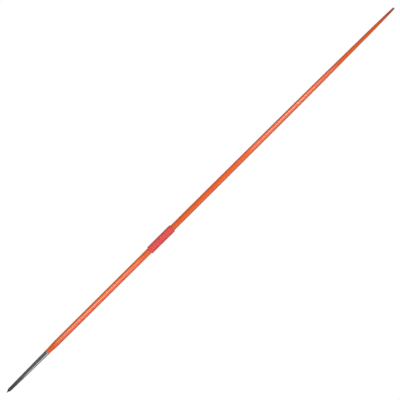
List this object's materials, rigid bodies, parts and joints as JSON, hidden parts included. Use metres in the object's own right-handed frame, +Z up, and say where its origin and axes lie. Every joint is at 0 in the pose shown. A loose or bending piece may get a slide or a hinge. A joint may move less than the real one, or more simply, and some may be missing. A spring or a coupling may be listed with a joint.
{
  "type": "javelin",
  "caption": "Throwing javelin with a blunt-nosed metal head and reinforced tip, a glossy orange tapered shaft, a red wound cord grip at its balance point and a slim closed tail",
  "frame": {"origin": "the middle of the grip's underside, on the flat that the javelin rests on, 1.044 m behind the point of the tip", "axes": "+X along the javelin towards the tip, the direction of throw; +Z up, out of the floor that it lies on; +Y to the thrower's left"},
  "size_m": [2.62, 0.0394, 0.039],
  "materials": {
    "tip_steel": "satin",
    "head_steel": "satin",
    "weight_brass": "satin",
    "orange_shaft": "gloss",
    "bare_alloy": "satin",
    "tail_cap": "satin",
    "underwrap": "matte",
    "grip_cord": "matte"
  },
  "bodies": {
    "root": {"tip_pin": "tip_steel", "head_shell": "head_steel", "balance_weight": "weight_brass", "front_tube": "orange_shaft", "joint_sleeve": "bare_alloy", "rear_tube": "orange_shaft", "tail_plug": "tail_cap", "grip_tape": "underwrap", "grip_cord": "grip_cord"}
  },
  "joints": []
}
